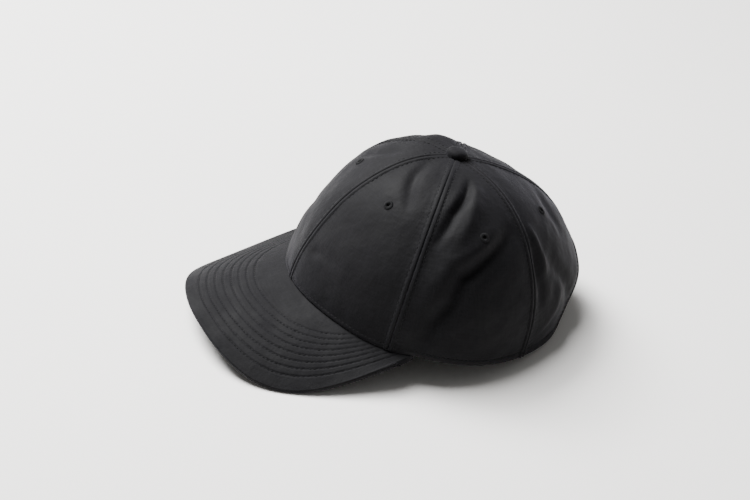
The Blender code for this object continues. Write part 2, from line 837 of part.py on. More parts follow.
crown_cloth = make_material("crown_cloth", (0.030, 0.031, 0.034), 0.92)
thread = make_material("thread", (0.036, 0.037, 0.040), 0.80)
tape_cloth = make_material("tape_cloth", (0.020, 0.020, 0.022), 0.90)
band_cloth = make_material("band_cloth", (0.024, 0.024, 0.026), 0.88)
board_plastic = make_material("board_plastic", (0.060, 0.060, 0.062), 0.50)
strap_webbing = make_material("strap_webbing", (0.026, 0.027, 0.029), 0.85)
dark_metal = make_material("dark_metal", (0.050, 0.050, 0.052), 0.35, 1.0)

cap_frame = add_empty("cap_frame", (0, STAND_SHIFT_Y, STAND_HEIGHT), (-LEAN_BACK, 0, 0))
strap_axis = add_empty("strap_axis", (0, STRAP_CENTRE_Y + STAND_SHIFT_Y, 0), (0, 0, 0))
buckle_x, buckle_y = STRAP_RADIUS * math.sin(BUCKLE_ANGLE), STRAP_RADIUS * math.cos(BUCKLE_ANGLE)
buckle_turn = (-math.atan(STRAP_FLARE), 0, -BUCKLE_ANGLE)
buckle_place = add_empty("buckle_place", (buckle_x, buckle_y, STRAP_MID_Z), buckle_turn, strap_axis)

make_panels(cap_frame, crown_cloth, make_arch_cutter(cap_frame), make_table_cutter())
make_eyelets(cap_frame, thread)
make_tapes(cap_frame, tape_cloth)
make_sweatband(cap_frame, band_cloth)
make_arch_binding(cap_frame, tape_cloth)
make_brim(cap_frame, crown_cloth, board_plastic)
make_stitch_rows(cap_frame, thread)
make_button(cap_frame, crown_cloth, dark_metal)
make_strap(strap_axis, strap_webbing)
make_tab(buckle_place, strap_webbing)
make_buckle_frame(buckle_place, dark_metal)
make_lever(buckle_place, dark_metal)
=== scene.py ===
"""The visible baseball cap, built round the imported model: soft panels with sewn seams and creases, a
stitched brim, embroidered eyelets, a covered button, and the strap and buckle at the back."""

import math

import bmesh
import bpy
import numpy as np
from mathutils import Matrix, Vector


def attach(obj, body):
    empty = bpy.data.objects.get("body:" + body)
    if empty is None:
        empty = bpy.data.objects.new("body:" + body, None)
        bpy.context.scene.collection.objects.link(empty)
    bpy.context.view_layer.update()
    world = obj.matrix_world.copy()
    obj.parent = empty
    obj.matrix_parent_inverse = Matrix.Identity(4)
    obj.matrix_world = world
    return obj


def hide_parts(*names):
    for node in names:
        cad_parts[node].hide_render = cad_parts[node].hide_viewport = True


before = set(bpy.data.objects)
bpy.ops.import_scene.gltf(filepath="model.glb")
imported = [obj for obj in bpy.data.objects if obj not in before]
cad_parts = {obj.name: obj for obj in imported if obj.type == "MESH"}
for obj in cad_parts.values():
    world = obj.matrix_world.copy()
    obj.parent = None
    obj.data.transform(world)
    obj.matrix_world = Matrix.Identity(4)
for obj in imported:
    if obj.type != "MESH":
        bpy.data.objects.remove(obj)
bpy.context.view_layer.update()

MM = 0.001

# How the cap stands on the table
LEAN_BACK = math.radians(11.75)
STAND_HEIGHT = 9.76 * MM
STAND_SHIFT_Y = 19.2 * MM

# Crown surface, as in the CAD model
HEM_RADIUS = 93.3 * MM
HEM_WAVES = (-7.0 * MM, 0.6 * MM, -1.7 * MM, 2.0 * MM)
CROWN_HEIGHT = 104.3 * MM
APEX_SHIFT = 0.6 * MM
FULLNESS = (0.91, 0.77, 1.04)
STEEPNESS = (1.37, 1.18, 0.74)
SIDE_BULGE = 2.9 * MM
REAR_FLARE = 5.2 * MM
REAR_FLARE_HEIGHT = 0.2
REAR_FLARE_SPAN = 0.1
REAR_FLARE_WIDTH = 0.6
FRONT_HEM_Z = 5.7 * MM
REAR_HEM_Z = 7.4 * MM
CROWN_ARC = 145 * MM
HALF_PANEL = math.radians(30)
SURFACE_STEP = 0.002

# Brim
BRIM_CORNER = math.radians(70.9)
BRIM_HALF_WIDTH = 88.0 * MM
BRIM_REACH = 61.0 * MM
BRIM_SQUARE_SIDE = 1.08
BRIM_SQUARE_FRONT = 0.56
BRIM_PITCH = math.radians(24.35)
BRIM_ROLL_RADIUS = 132.9 * MM
BRIM_ROLL_CHANGE = -0.55
BRIM_HEM_DROP = 2.9 * MM
BRIM_TUCK = 1.2 * MM
BRIM_END = 0.985
BRIM_FACE = 1.6 * MM
BRIM_CLOTH = 0.5 * MM
BRIM_UNDER_END = 0.995
BRIM_COLUMNS = 261
BRIM_ROWS = 171
BRIM_CROWDING = 0.55
CORNER_END = BRIM_END + 0.006
CORNER_DROP = (0.8, 0.0, -0.8, -1.0)
LIP_OUT = 1.15 * MM
LIP_ROLL = (12, 26, 42, 60, 78, 96, 114, 132, 150)
ALLOWANCE = 5.0 * MM
ALLOWANCE_IN = 0.4 * MM
ALLOWANCE_STEPS = (1.0, 0.7, 0.4, 0.15)
STITCH_ROWS = 8
STITCH_FIRST = 7.6 * MM
STITCH_PITCH = 4.8 * MM
STITCH_ROOT = 0.05
STITCH_LIMIT = 0.98
BRIM_STITCH_LENGTH = 2.0 * MM
BRIM_STITCH_GAP = 0.8 * MM
BRIM_THREAD = 0.24 * MM
QUILT_DIP = 0.38 * MM
QUILT_DIP_WIDTH = 0.62 * MM

# Cloth and sewing
CLOTH = 0.9 * MM
APEX_HOLE = 4.0 * MM
PANEL_ROWS = 110
HEM_ROWS = 15
HEM_ROWS_END = 0.09
SEAM_COLUMNS = (0.0, 0.3, 0.6, 0.9, 1.3, 1.8, 2.3, 2.7, 3.0, 3.3, 3.6, 4.1, 5.0, 6.2)
SEAM_COLUMNS_NEED = 12.0 * MM
MIDDLE_COLUMNS = 14
REAR_PANEL_SHARE = 0.84
STITCH_LENGTH = 2.3 * MM
STITCH_GAP = 0.7 * MM
STITCH_SLANT = 0.10
THREAD = 0.26 * MM
BUTTON_CLEAR = 6.5 * MM

# Relief of the cloth: soft waves, felled seams and the folded hem
WAVE_BROAD = 0.60 * MM
WAVE_FINE = 0.20 * MM
APEX_EASE = 0.12
HEM_EASE = 0.08
HEM_EASE_START = -0.03
SEAM_HOLD = 0.75
SEAM_HOLD_WIDTH = 4.0 * MM
SEAM_STITCH = 3.2 * MM
SEAM_BAND = 0.55 * MM
SEAM_BAND_END = SEAM_STITCH + 0.2 * MM
SEAM_BAND_FADE = MM / 3
SEAM_GROOVE = 0.70 * MM
SEAM_GROOVE_WIDTH = 0.48 * MM
SEAM_DIP = 0.42 * MM
SEAM_DIP_WIDTH = 0.55 * MM
SEAM_PULL = 0.30 * MM
SEAM_PULL_AT = SEAM_STITCH + 2.2 * MM
SEAM_PULL_WIDTH = 2.0 * MM
SEAM_CALM = 0.45
SEAM_CALM_START = 0.86
SEAM_CALM_SPAN = 0.06
HEM_STITCH = 5.0 * MM
HEM_DIP = 0.30 * MM
HEM_DIP_WIDTH = 0.6 * MM
HEM_EDGE = 0.35 * MM
HEM_EDGE_TOP = 5.2 * MM
HEM_EDGE_FADE = 0.4 * MM

# Tapes, sweatband, arch, eyelets and button
TAPE_HALF_WIDTH = 6.0 * MM
TAPE_DEPTH = 1.6 * MM
TAPE_CLOTH = 0.5 * MM
TAPE_BULGE = 0.35 * MM
TAPE_START = 0.03
TAPE_TOP_RADIUS = 13.0 * MM
BAND_DEPTH = 2.7 * MM
BAND_POCKET_DEPTH = 4.9 * MM
POCKET_START = 118
POCKET_RAMP = 14
BAND_FOOT = 0.01
BAND_HEIGHT = 0.24
BAND_CLOTH = 0.9 * MM
BAND_SEWN_ROWS = (4, 26)
ARCH_HALF_WIDTH = 48.0 * MM
ARCH_HEIGHT = 48.0 * MM
ARCH_POWER = 2.2
ARCH_FOOT = -30.0 * MM
ARCH_CUT_FROM = 45.0 * MM
ARCH_CUT_TO = 150.0 * MM
BINDING_RADIUS = 1.15 * MM
BINDING_SQUASH = 0.9
BINDING_INSET = 0.2 * MM
BINDING_SEWING = 3.2 * MM
BINDING_FOOT = 2.8 * MM
EYELET_HEIGHT = 0.59
EYELET_CUT = 1.75 * MM
EYELET_RING = 2.05 * MM
EYELET_HALF_WIDTH = 1.05 * MM
EYELET_RISE = 0.55 * MM
EYELET_BACK = 1.9
EYELET_STANDOFF = 0.1 * MM
EYELET_THREADS = 30
WELD_DISTANCE = 0.002 * MM
BUTTON_RADIUS = 7.3 * MM
BUTTON_HEIGHT = 5.4 * MM
BUTTON_RIM = 0.6 * MM
BUTTON_TURN = math.radians(118)
BUTTON_COLUMNS = 96
BUTTON_CLOTH = 0.4 * MM

# Back strap, round an upright axis
STRAP_CENTRE_Y = 28.3 * MM + STAND_SHIFT_Y
STRAP_RADIUS = 75.3 * MM
STRAP_FLARE = 0.15
STRAP_MID_Z = 12.3 * MM
STRAP_HALF_HEIGHT = 9.5 * MM
STRAP_CLOTH = 1.2 * MM
STRAP_HALF_ANGLE = math.radians(46)
STRAP_TURNED = 0.2 * MM
STRAP_SEWING = (-0.78, 0.78)
STRAP_DIP = 0.16 * MM
STRAP_EDGE = 0.30 * MM
STRAP_EDGE_START = 0.92
STRAP_SEWING_DEPTH = 0.12 * MM
BUCKLE_EDGE = 0.2 * MM

# Camera and setting
CAMERA_AZIMUTH = math.radians(68.6)
CAMERA_ELEVATION = math.radians(30.03)
CAMERA_ROLL = math.radians(5.59)
CAMERA_DISTANCE = 1.145
CAMERA_TARGET = (0, STAND_SHIFT_Y - 20 * MM, STAND_HEIGHT + 50 * MM)
CAMERA_LENS = 84.57
CAMERA_SHIFT = (-0.0177, -0.0244)
FLOOR_SIZE = 6.0
FLOOR_DROP = 0.2 * MM
FLOOR_COLOUR = (0.87, 0.857, 0.838)
LIGHT_TARGET = (0, 0, 50 * MM)
SKY_STRENGTH = 0.22

SEAMS = [math.radians(60 * i) for i in range(6)]
PANELS = {
    "front_panel_left": 0,
    "side_panel_left": 1,
    "rear_panel_left": 2,
    "rear_panel_right": 3,
    "side_panel_right": 4,
    "front_panel_right": 5,
}
SEAM_NAMES = ("front", "front_left", "rear_left", "rear", "rear_right", "front_right")

# Folds in the soft crown: points as (degrees from the front, t), depth in mm and width in mm. A fold with a
# negative depth is a ridge.
FOLDS = (
    (((86, 0.86), (80, 0.78), (72, 0.68), (66, 0.53)), 4.4, 2.6),
    (((94, 0.84), (84, 0.70), (76, 0.54)), -2.6, 4.5),
    (((108, 0.60), (93, 0.50), (82, 0.41), (80, 0.31), (75, 0.21), (72, 0.10)), 6.4, 6.0),
    (((100, 0.64), (88, 0.54), (76, 0.46), (70, 0.34)), -2.4, 7.0),
    (((19, 0.87), (27, 0.77), (36, 0.69), (44, 0.61)), 2.4, 4.0),
    (((126, 0.60), (128, 0.51), (131, 0.36)), -2.0, 2.8),
    (((122, 0.50), (124, 0.38), (126, 0.22)), 2.4, 4.5),
    (((136, 0.40), (146, 0.25), (150, 0.12)), 2.2, 4.5),
    (((141, 0.30), (137, 0.18), (128, 0.10)), -1.2, 3.5),
    (((6, 0.24), (13, 0.27), (22, 0.26)), 1.4, 3.5),
    (((20, 0.42), (34, 0.36), (48, 0.34)), 0.9, 8.0),
    (((-52, 0.90), (-90, 0.86), (-125, 0.90)), -2.2, 9.0),
    (((-84, 0.80), (-74, 0.66), (-67, 0.50)), 2.4, 3.4),
    (((-104, 0.58), (-90, 0.46), (-80, 0.30), (-74, 0.12)), 2.8, 7.0),
    (((-24, 0.80), (-34, 0.66), (-46, 0.56)), 1.5, 4.5),
    (((-124, 0.48), (-134, 0.34), (-148, 0.20)), 2.0, 5.0),
    (((-20, 0.34), (-36, 0.28), (-50, 0.30)), 1.0, 6.0),
    (((166, 0.62), (158, 0.52), (156, 0.42)), 1.4, 5.0),
    (((-168, 0.66), (-158, 0.55), (-150, 0.50)), 1.2, 5.0),
)


# Surfaces


def blend(th, values):
    c = np.cos(th)
    front = np.where(c > 0, c * c, 0.0)
    rear = np.where(c < 0, c * c, 0.0)
    return front * values[0] + (1 - front - rear) * values[1] + rear * values[2]


def hem_radius(th):
    return HEM_RADIUS + sum(wave * np.cos((i + 1) * th) for i, wave in enumerate(HEM_WAVES))


def brim_height(x, y):
    ahead = -hem_radius(0.0) - y
    radius = np.maximum(BRIM_ROLL_RADIUS + BRIM_ROLL_CHANGE * ahead, np.abs(x) + 5 * MM)
    return FRONT_HEM_Z - (radius - np.sqrt(radius**2 - x**2)) - ahead * math.tan(BRIM_PITCH)


def hem_height(th):
    th = np.abs(th)
    edge = np.minimum(th, BRIM_CORNER)
    radius = hem_radius(edge)
    height = brim_height(radius * np.sin(edge), -radius * np.cos(edge))
    back = np.clip((th - BRIM_CORNER) / (math.pi - BRIM_CORNER), 0, 1)
    return REAR_HEM_Z + (height - REAR_HEM_Z) * (1 - back) ** 2


def wrap(th):
    return (np.asarray(th, float) + math.pi) % (2 * math.pi) - math.pi


def crown(th, t):
    """The smooth crown surface: th from the front to the wearer's left, t from 0 at the hem to 1."""
    th, t = np.broadcast_arrays(wrap(th), np.asarray(t, float))
    rise = t * math.pi / 2
    hem = hem_height(th)
    radius = hem_radius(th) * np.maximum(np.cos(rise), 0) ** blend(th, FULLNESS)
    radius = radius + SIDE_BULGE * np.sin(2 * rise)
    behind = (math.pi - np.abs(th)) / REAR_FLARE_WIDTH
    above = (t - REAR_FLARE_HEIGHT) / REAR_FLARE_SPAN
    radius = radius + REAR_FLARE * np.exp(-(behind**2) - above**2)
    z = hem + (CROWN_HEIGHT - hem) * np.maximum(np.sin(rise), 0) ** blend(th, STEEPNESS)
    forward = APEX_SHIFT * np.sin(rise) ** 2
    return np.stack([radius * np.sin(th), forward - radius * np.cos(th), z], -1)


def unit(v):
    return v / np.maximum(np.linalg.norm(v, axis=-1, keepdims=True), 1e-12)


def crown_normal(th, t):
    low = np.clip(t, 0.01, 0.985)
    across = crown(th + SURFACE_STEP, low) - crown(th - SURFACE_STEP, low)
    up = crown(th, low + SURFACE_STEP) - crown(th, low - SURFACE_STEP)
    return unit(np.cross(across, up))


def plan_radius(th, t):
    return np.hypot(*np.moveaxis(crown(th, t)[..., :2], -1, 0))


def top_reach(th, radius):
    """The t at which the crown has closed in to this plan radius."""
    low, high = 0.6, 1.0
    for _ in range(30):
        middle = (low + high) / 2
        low, high = (middle, high) if plan_radius(th, middle) > radius else (low, middle)
    return low


def hump(distance, width):
    """1 on a line, falling away to each side of it."""
    return np.exp(-((distance / width) ** 2))


def fold_relief(th, t):
    """Depth of the folds, in metres: soft troughs and ridges along short paths."""
    depth = np.zeros(np.shape(th))
    radius = plan_radius(th, t)
    for path, amount, width in FOLDS:
        points = np.array(path, float)
        spans = len(points) - 1
        best = np.full(np.shape(th), 1e9)
        place = np.zeros(np.shape(th))
        for i in range(spans):
            start, end = points[i], points[i + 1]
            dx = wrap(th - math.radians(start[0])) * radius
            dy = (t - start[1]) * CROWN_ARC
            ex = math.radians(end[0] - start[0]) * radius
            ey = (end[1] - start[1]) * CROWN_ARC
            share = np.clip((dx * ex + dy * ey) / (ex**2 + ey**2 + 1e-12), 0, 1)
            gap = np.hypot(dx - share * ex, dy - share * ey)
            nearer = gap < best
            best = np.where(nearer, gap, best)
            place = np.where(nearer, (i + share) / spans, place)
        swell = 0.25 + 0.75 * np.sin(np.pi * np.clip(place, 0, 1)) ** 0.7
        depth += amount * MM * swell * hump(best, width * MM)
    return depth


def soft_waves(points):
    """Gentle unevenness of cloth that holds itself up, in metres."""
    x, y, z = (points[..., i] / MM for i in range(3))
    broad = np.sin(x / 11 + 1.3 * np.sin(z / 17)) * np.sin(y / 13 + z / 19 + 0.7)
    fine = np.sin(x / 4.7 + z / 5.3 + np.sin(y / 6)) * np.sin(y / 5.1 - z / 6.1 + 1.1)
    return WAVE_BROAD * broad + WAVE_FINE * fine


def seam_relief(gap, along):
    """Cross-section of a felled seam: a groove, a raised band each side, and a dip at each stitch row."""
    run = along / MM
    pucker = 1 + 0.35 * np.sin(run * 1.9) + 0.2 * np.sin(run * 0.83 + 1)
    band = SEAM_BAND / (1 + np.exp((gap - SEAM_BAND_END) / SEAM_BAND_FADE))
    groove = SEAM_GROOVE * hump(gap, SEAM_GROOVE_WIDTH)
    dip = SEAM_DIP * pucker * hump(gap - SEAM_STITCH, SEAM_DIP_WIDTH)
    pull = SEAM_PULL * np.sin(run * 0.95) ** 2 * hump(gap - SEAM_PULL_AT, SEAM_PULL_WIDTH)
    calm = 1 - SEAM_CALM * np.clip((along / CROWN_ARC - SEAM_CALM_START) / SEAM_CALM_SPAN, 0, 1)
    return (band - groove - dip - pull) * calm


def hem_relief(t):
    """The hem is folded in: a thicker edge and a stitched line above it."""
    up = t * CROWN_ARC
    edge = HEM_EDGE / (1 + np.exp((up - HEM_EDGE_TOP) / HEM_EDGE_FADE))
    return edge - HEM_DIP * hump(up - HEM_STITCH, HEM_DIP_WIDTH)


def nearest_seam(th, t):
    """Surface distance to the nearest seam line."""
    off = (np.asarray(th) + HALF_PANEL) % (2 * HALF_PANEL) - HALF_PANEL
    return np.abs(off) * plan_radius(th, t)


def crown_skin(th, t, depth=0.0, sewn=True):
    """The crown's outer surface with its folds and seams, or a surface that far inside it."""
    base = crown(th, t)
    gap = nearest_seam(th, t)
    ease = np.clip((1 - t) / APEX_EASE, 0, 1) * np.clip((t - HEM_EASE_START) / HEM_EASE, 0, 1)
    quiet = 1 - SEAM_HOLD * hump(gap, SEAM_HOLD_WIDTH)
    lift = (soft_waves(base) - fold_relief(th, t)) * ease * quiet
    if sewn:
        lift = lift + seam_relief(gap, t * CROWN_ARC) + hem_relief(t)
    return base + crown_normal(th, t) * (lift - depth)[..., None]


def world_turn(vectors):
    """Directions from the cap's own frame to the table's."""
    c, s = math.cos(LEAN_BACK), math.sin(LEAN_BACK)
    x, y, z = vectors[..., 0], vectors[..., 1], vectors[..., 2]
    return np.stack([x, y * c + z * s, -y * s + z * c], -1)


def to_world(points):
    """Places from the cap's own frame to the table's."""
    return world_turn(points) + np.array([0, STAND_SHIFT_Y, STAND_HEIGHT])


def sewing_run(th, t):
    """A path on the crown with its normals, for a row of stitches."""
    return to_world(crown_skin(th, t)), world_turn(crown_normal(th, t))


# Mesh helpers


def link(name, mesh, material, replaces=(), body="crown"):
    """A piece that rides a body, and takes the place of any CAD nodes named in replaces."""
    mesh.name = name
    obj = bpy.data.objects.new(name, mesh)
    bpy.context.scene.collection.objects.link(obj)
    mesh.materials.append(material)
    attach(obj, body)
    if replaces:
        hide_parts(*replaces)
    return obj


def vertex_numbers(rows, columns, loop):
    """Numbers of a grid's vertices, with the first column again at the end if it closes on itself."""
    index = np.arange(rows * columns).reshape(rows, columns)
    return np.concatenate([index, index[:, :1]], 1) if loop else index


def quads(index):
    """Faces between neighbouring rows and columns of vertex numbers."""
    return np.stack([index[:-1, :-1], index[:-1, 1:], index[1:, 1:], index[1:, :-1]], -1).reshape(-1, 4)


def end_caps(index):
    """Faces that close the first and last ring of a tube."""
    return [index[0, -2::-1].tolist(), index[-1, :-1].tolist()]


def smooth_mesh(points, faces):
    mesh = bpy.data.meshes.new("piece")
    mesh.from_pydata(points.reshape(-1, 3).tolist(), [], faces)
    mesh.shade_smooth()
    return mesh


def grid(points, uv=None, loop=False):
    """A smooth open surface through rows of points, with cloth coordinates in metres as its UV map."""
    faces = quads(vertex_numbers(*points.shape[:2], loop))
    mesh = smooth_mesh(points, faces.tolist())
    layer = mesh.uv_layers.new(name="cloth")
    if uv is None:
        uv = cloth_coordinates(points)
    flat = uv.reshape(-1, 2)[faces.reshape(-1)]
    layer.data.foreach_set("uv", flat.astype(np.float32).ravel())
    return mesh


def cloth_coordinates(points):
    """Distances along each row from its middle, and the mean distance up the columns."""
    rows, columns = points.shape[:2]
    across = np.linalg.norm(np.diff(points, axis=1), axis=-1)
    up = np.linalg.norm(np.diff(points, axis=0), axis=-1)
    u = np.concatenate([np.zeros((rows, 1)), np.cumsum(across, 1)], 1)
    v = np.concatenate([np.zeros((1, columns)), np.cumsum(up, 0)], 0)
    return np.stack([u - u[:, -1:] / 2, v.mean(1, keepdims=True) + 0 * u], -1)


def sheet_area(points):
    across = points[:-1, 1:] - points[:-1, :-1]
    up = points[1:, :-1] - points[:-1, :-1]
    return float(np.linalg.norm(np.cross(across, up), axis=-1).sum())


def apply_modifiers(obj):
    """The piece's final mesh in place of its modifiers."""
    graph = bpy.context.evaluated_depsgraph_get()
    mesh = bpy.data.meshes.new_from_object(obj.evaluated_get(graph))
    obj.modifiers.clear()
    obj.data = mesh


def thicken(obj, thickness):
    """A closed sheet of cloth inside the surface."""
    shell = obj.modifiers.new("cloth", "SOLIDIFY")
    shell.thickness = thickness
    shell.offset = -1.0
    apply_modifiers(obj)


def cut_with(obj, cutter):
    change = obj.modifiers.new("cut", "BOOLEAN")
    change.solver = "EXACT"
    change.object = cutter
    apply_modifiers(obj)


def tube_mesh(path, normals, radius, squash, sides=14):
    """A closed cord along a path, flattened along the normals by squash."""
    tangent = unit(np.gradient(path, axis=0))
    normal = unit(normals - (normals * tangent).sum(-1, keepdims=True) * tangent)
    side = np.cross(tangent, normal)
    turn = np.linspace(0, 2 * math.pi, sides, endpoint=False)[None, :, None]
    ring = np.cos(turn) * side[:, None] + squash * np.sin(turn) * normal[:, None]
    index = vertex_numbers(len(path), sides, True)
    return smooth_mesh(path[:, None] + radius * ring, quads(index).tolist() + end_caps(index))


def at_lengths(values, lengths, places):
    return np.stack([np.interp(places, lengths, values[:, i]) for i in range(3)], -1)


def resample(path, normals, step):
    """Points at even steps along a path, with their normals."""
    lengths = np.concatenate([[0], np.cumsum(np.linalg.norm(np.diff(path, axis=0), axis=1))])
    count = max(int(lengths[-1] / step), 1)
    places = np.linspace(0, lengths[-1], count + 1)
    return at_lengths(path, lengths, places), unit(at_lengths(normals, lengths, places))


def stitch_mesh(runs, length=STITCH_LENGTH, gap=STITCH_GAP, thread=THREAD):
    """Separate sewing stitches along runs of (path, normals): each dives into the cloth at both ends."""
    rings, sides = 7, 6
    share = np.linspace(-1, 1, rings)
    swell = np.sqrt(np.clip(1 - share**6, 0.02, 1))
    bow = 0.45 - share**2
    turn = np.linspace(0, 2 * math.pi, sides, endpoint=False)
    index = vertex_numbers(rings, sides, True)
    stitch_faces = quads(index).tolist() + end_caps(index)
    points, faces = [], []
    for path, normals in runs:
        ends, ups = resample(path, normals, length + gap)
        middles = (ends[:-1] + ends[1:]) / 2
        ups = unit(ups[:-1] + ups[1:])
        along = unit(ends[1:] - ends[:-1])
        across = np.cross(ups, along)
        slant = unit(along + STITCH_SLANT * across)
        for centre, up, ahead, side in zip(middles, ups, slant, across):
            line = centre + ahead * (share * length / 2)[:, None] + up * (bow * thread)[:, None]
            circle = np.cos(turn)[:, None] * side + np.sin(turn)[:, None] * up
            first = len(points) * rings * sides
            points.append(line[:, None] + circle[None] * (swell * thread)[:, None, None])
            faces += [[first + i for i in face] for face in stitch_faces]
    return smooth_mesh(np.array(points), faces)


# Materials


def new_material(name, colour, roughness, metallic=0.0, sheen=0.0, sheen_roughness=0.5):
    material = bpy.data.materials.new(name)
    material.use_nodes = True
    tree = material.node_tree
    shader = tree.nodes["Principled BSDF"]
    shader.inputs["Base Color"].default_value = (*colour, 1)
    shader.inputs["Roughness"].default_value = roughness
    shader.inputs["Metallic"].default_value = metallic
    shader.inputs["Sheen Weight"].default_value = sheen
    shader.inputs["Sheen Roughness"].default_value = sheen_roughness
    return material, tree, shader


def node(tree, kind, settings=None, **inputs):
    """A node with its inputs set: a socket is linked, and anything else is a value."""
    made = tree.nodes.new("ShaderNode" + kind)
    for key, value in (settings or {}).items():
        setattr(made, key, value)
    for key, value in inputs.items():
        socket = made.inputs[int(key[1:])] if key[0] == "i" and key[1:].isdigit() else made.inputs[key]
        if isinstance(value, bpy.types.NodeSocket):
            tree.links.new(value, socket)
        else:
            socket.default_value = value
    return made


def maths(tree, operation, a, b=0.0):
    return node(tree, "Math", {"operation": operation}, i0=a, i1=b).outputs[0]


def noise(tree, vector, scale, detail):
    return node(tree, "TexNoise", None, Vector=vector, Scale=scale, Detail=detail).outputs["Fac"]


def mapping(tree, vector, scale):
    return node(tree, "Mapping", None, Vector=vector, Scale=scale).outputs[0]


def spread_range(tree, value, low, high, to_low, to_high):
    made = node(tree, "MapRange", None, Value=value)
    for key, number in zip(("From Min", "From Max", "To Min", "To Max"), (low, high, to_low, to_high)):
        made.inputs[key].default_value = number
    return made.outputs[0]


def shade_colour(tree, shader, colour, shade):
    """The base colour, made darker and lighter by shade."""
    scaled = node(tree, "VectorMath", {"operation": "SCALE"}, i0=colour, Scale=shade)
    tree.links.new(scaled.outputs[0], shader.inputs["Base Color"])


def add_bump(tree, shader, height, strength, distance):
    bump = node(tree, "Bump", None, Height=height, Strength=strength, Distance=distance)
    tree.links.new(bump.outputs[0], shader.inputs["Normal"])


def woven(name, colour, thread_pitch, twill=False):
    """Woven cloth: crossing threads, slubs along them, a washed mottle, and fuzz in its sheen."""
    roughness, weave_depth, crumple_depth = 0.72, 0.12 * MM, 1.6 * MM
    material, tree, shader = new_material(name, colour, roughness, 0.0, 0.055, 0.45)
    shader.inputs["Sheen Tint"].default_value = (0.88, 0.86, 1.0, 1)
    shader.inputs["Specular IOR Level"].default_value = 0.10
    cloth = node(tree, "UVMap", {"uv_map": "cloth"}).outputs[0]
    space = node(tree, "TexCoord").outputs["Object"]
    across = node(tree, "SeparateXYZ", None, Vector=cloth).outputs
    turns = 2 * math.pi / thread_pitch
    warp = maths(tree, "SINE", maths(tree, "MULTIPLY", across[0], turns))
    if twill:
        diagonal = maths(tree, "ADD", across[0], across[1])
        weft = maths(tree, "SINE", maths(tree, "MULTIPLY", diagonal, turns))
    else:
        weft = maths(tree, "SINE", maths(tree, "MULTIPLY", across[1], turns))
    threads = maths(tree, "MULTIPLY", maths(tree, "ADD", warp, weft), 0.25)
    slub_across = noise(tree, mapping(tree, cloth, (90, 900, 1)), 1.0, 2.0)
    slub_up = noise(tree, mapping(tree, cloth, (1100, 120, 1)), 1.0, 2.0)
    slubs = maths(tree, "ADD", slub_across, slub_up)
    mottle = noise(tree, space, 42.0, 5.0)
    slub_shade = spread_range(tree, slubs, 0.7, 1.3, -0.34, 0.34)
    mottle_shade = spread_range(tree, mottle, 0.3, 0.7, -0.16, 0.20)
    shade = maths(tree, "ADD", slub_shade, mottle_shade)
    shade = maths(tree, "ADD", shade, maths(tree, "MULTIPLY", threads, 0.25))
    shade_colour(tree, shader, colour, maths(tree, "ADD", shade, 1.0))
    rough = spread_range(tree, mottle, 0.3, 0.7, roughness - 0.06, roughness + 0.08)
    tree.links.new(rough, shader.inputs["Roughness"])
    height = maths(tree, "ADD", maths(tree, "MULTIPLY", threads, 0.6), maths(tree, "MULTIPLY", slubs, 0.8))
    crumple = noise(tree, space, 95.0, 4.0)
    rumple = node(tree, "Bump", None, Height=crumple, Strength=0.5, Distance=crumple_depth).outputs[0]
    bump = node(tree, "Bump", None, Height=height, Strength=0.55, Distance=weave_depth, Normal=rumple)
    tree.links.new(bump.outputs[0], shader.inputs["Normal"])
    return material


def thread_material(name, colour):
    """Twisted sewing thread with a slight shine."""
    material, tree, shader = new_material(name, colour, 0.7, 0.0, 0.04, 0.4)
    shader.inputs["Specular IOR Level"].default_value = 0.10
    space = node(tree, "TexCoord").outputs["Object"]
    twist = noise(tree, space, 2600.0, 1.0)
    shade_colour(tree, shader, colour, spread_range(tree, twist, 0.3, 0.7, 0.75, 1.3))
    add_bump(tree, shader, twist, 0.4, 0.05 * MM)
    return material


def metal_material(name, colour, metallic, roughness):
    """Satin black painted metal, with fine scuffs where it has been handled."""
    material, tree, shader = new_material(name, colour, roughness, metallic)
    shader.inputs["Coat Weight"].default_value = 0.15
    space = node(tree, "TexCoord").outputs["Object"]
    cloud = noise(tree, space, 180.0, 6.0)
    scuff = noise(tree, mapping(tree, space, (300, 2400, 900)), 1.0, 2.0)
    cloud_rough = spread_range(tree, cloud, 0.3, 0.7, -0.08, 0.10)
    scuff_rough = spread_range(tree, scuff, 0.35, 0.65, roughness - 0.05, roughness + 0.08)
    tree.links.new(maths(tree, "ADD", cloud_rough, scuff_rough), shader.inputs["Roughness"])
    shade_colour(tree, shader, colour, spread_range(tree, scuff, 0.45, 0.75, 0.9, 1.5))
    add_bump(tree, shader, scuff, 0.2, 0.03 * MM)
    return material


def plastic_material(name, colour):
    """Moulded sheet with a fine grain."""
    material, tree, shader = new_material(name, colour, 0.5)
    space = node(tree, "TexCoord").outputs["Object"]
    grain = noise(tree, space, 900.0, 3.0)
    tree.links.new(spread_range(tree, grain, 0.3, 0.7, 0.42, 0.58), shader.inputs["Roughness"])
    add_bump(tree, shader, grain, 0.2, 0.05 * MM)
    return material


# Crown


def edge_columns(half_width):
    """Distances from one panel edge: close together by the seam, then even to the middle."""
    near = np.array(SEAM_COLUMNS)[None] * MM * np.minimum(1, half_width / SEAM_COLUMNS_NEED)[:, None]
    far = np.linspace(0, 1, MIDDLE_COLUMNS + 1)[None, 1:]
    return np.concatenate([near, near[:, -1:] + (half_width[:, None] - near[:, -1:]) * far], 1)


